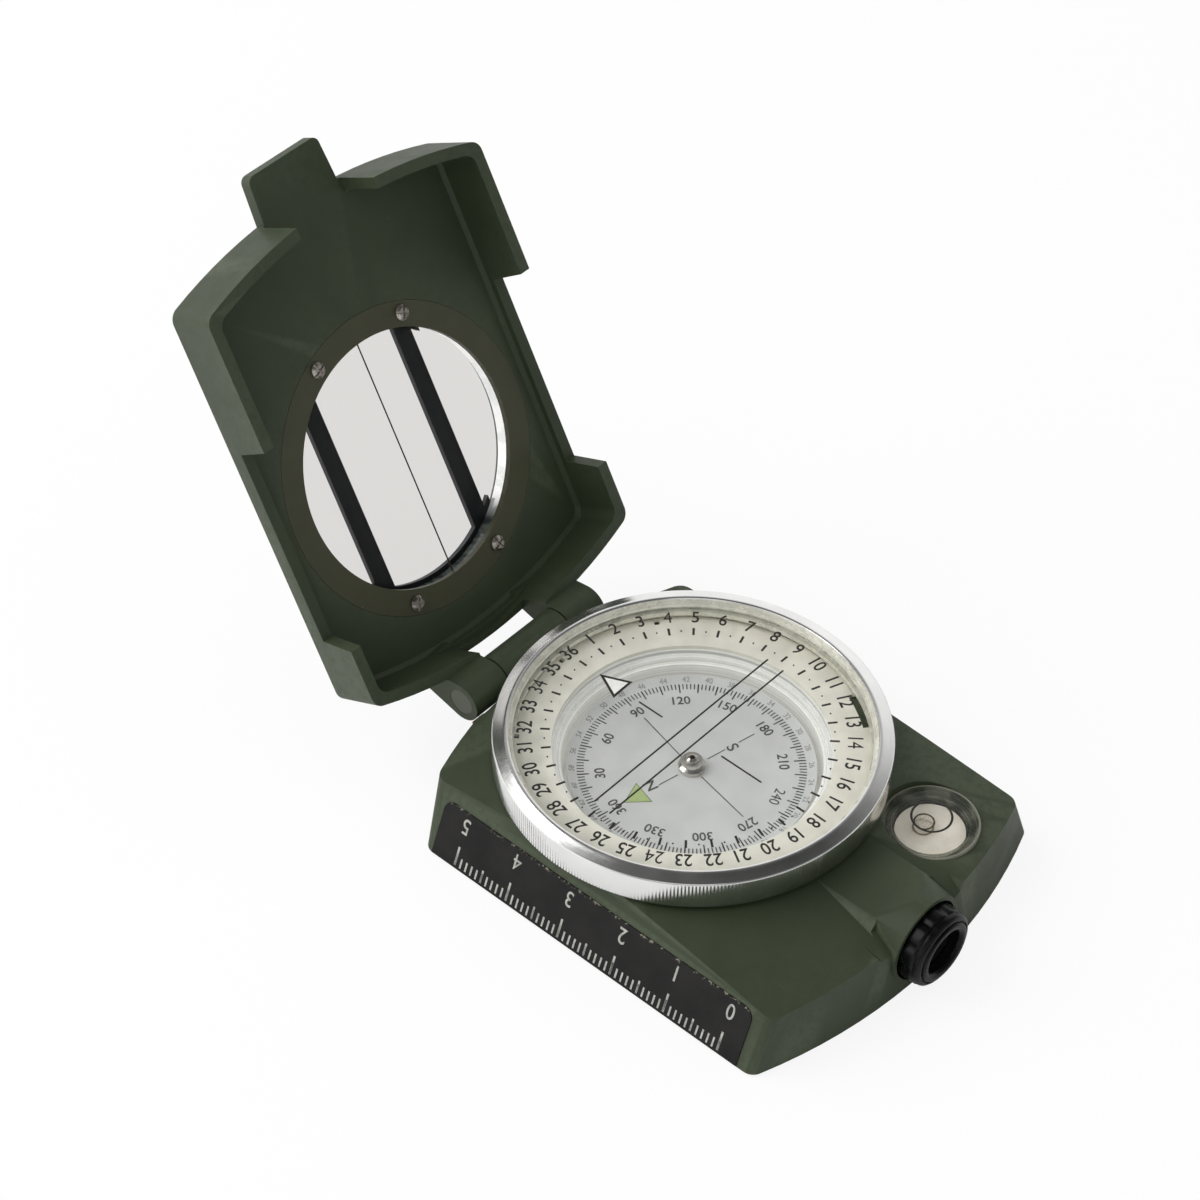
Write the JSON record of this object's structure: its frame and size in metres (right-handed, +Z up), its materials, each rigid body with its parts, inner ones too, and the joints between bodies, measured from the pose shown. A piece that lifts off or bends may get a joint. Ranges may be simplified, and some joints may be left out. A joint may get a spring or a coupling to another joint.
{
  "type": "military compass",
  "caption": "Folding sighting compass: cast case with turning bezel, pivoted dial card, bull's-eye level, focusing eyepiece, ruler edge and hinged cover with a window.",
  "frame": {"origin": "on the dial's axis, in the plane of the flat underside that the compass stands on", "axes": "+Z up along the dial's axis, +Y from the eyepiece towards the hinge (the sighting direction), +X towards the side with the bull's-eye level"},
  "size_m": [0.0623, 0.1291, 0.0791],
  "materials": {
    "olive_enamel": "matt olive enamel on cast alloy",
    "bright_aluminium": "turned and polished",
    "ruler_black": "black scale plate with white print",
    "steel": "plain bright steel",
    "magnet_steel": "dark magnet steel",
    "brass": "turned brass",
    "bronze": "rolled spring bronze",
    "bowl_plastic": "moulded, pale grey and clear",
    "luminous_paint": "pale luminous plastic",
    "dial_card": "printed pale grey card",
    "level_disc": "cream",
    "black_plastic": "black, moulded",
    "clear_glass": "polished clear glass",
    "clear_acrylic": "clear moulded acrylic",
    "jewel": "polished jewel",
    "ring_bronze_green": "dark bronze green, satin"
  },
  "bodies": {
    "casing": {"base_body": "olive_enamel", "bottom_plate": "olive_enamel", "plate_screws": "steel", "ruler_plate": "ruler_black", "dial_bowl": "bowl_plastic", "dial_glass": "clear_glass", "luminous_ring": "luminous_paint", "pivot_pin": "steel", "bezel_snap_ring": "steel", "level_cup": "clear_acrylic", "level_disc": "level_disc", "level_glass": "clear_glass", "prism": "clear_glass", "prism_cradle": "black_plastic", "eyepiece_tube": "black_plastic", "friction_leaves": "bronze"},
    "dial": {"dial_card": "dial_card", "dial_hub": "brass", "jewel_cap": "jewel", "dial_magnet": "magnet_steel"},
    "bezel": {"bezel_ring": "bright_aluminium", "bezel_glass": "clear_glass", "glass_retainer": "bright_aluminium"},
    "knob": {"eyepiece_knob": "black_plastic"},
    "lens_carrier": {"lens_cell": "black_plastic", "eyepiece_lens": "clear_glass"},
    "lid": {"cover": "olive_enamel", "window_glass": "clear_glass", "window_ring": "ring_bronze_green", "window_screws": "steel", "sighting_line": "ruler_black", "hinge_pin": "steel"}
  },
  "joints": [
    {"name": "lid_hinge", "type": "hinge", "parent": "casing", "child": "lid", "pos_m": [0, 0.0326, 0.0115], "axis": [-1, 0, 0], "range_deg": [-118.9, 50]},
    {"name": "bezel_turn", "type": "hinge", "parent": "casing", "child": "bezel", "pos_m": [0, 0, 0.0155], "axis": [0, 0, 1], "continuous": true},
    {"name": "dial_turn", "type": "hinge", "parent": "casing", "child": "dial", "pos_m": [0, 0, 0.0102], "axis": [0, 0, 1], "continuous": true},
    {"name": "knob_turn", "type": "hinge", "parent": "casing", "child": "knob", "pos_m": [0, -0.0445, 0.0068], "axis": [0, 1, 0], "range_deg": [-135, 135]},
    {"name": "focus_slide", "type": "slide", "parent": "casing", "child": "lens_carrier", "axis": [0, 1, 0], "range_m": [-0.0006, 0.0006]}
  ],
  "couplings": [
    {"joint": "knob_turn", "follows": "focus_slide", "rad_per_m": 3926}
  ]
}
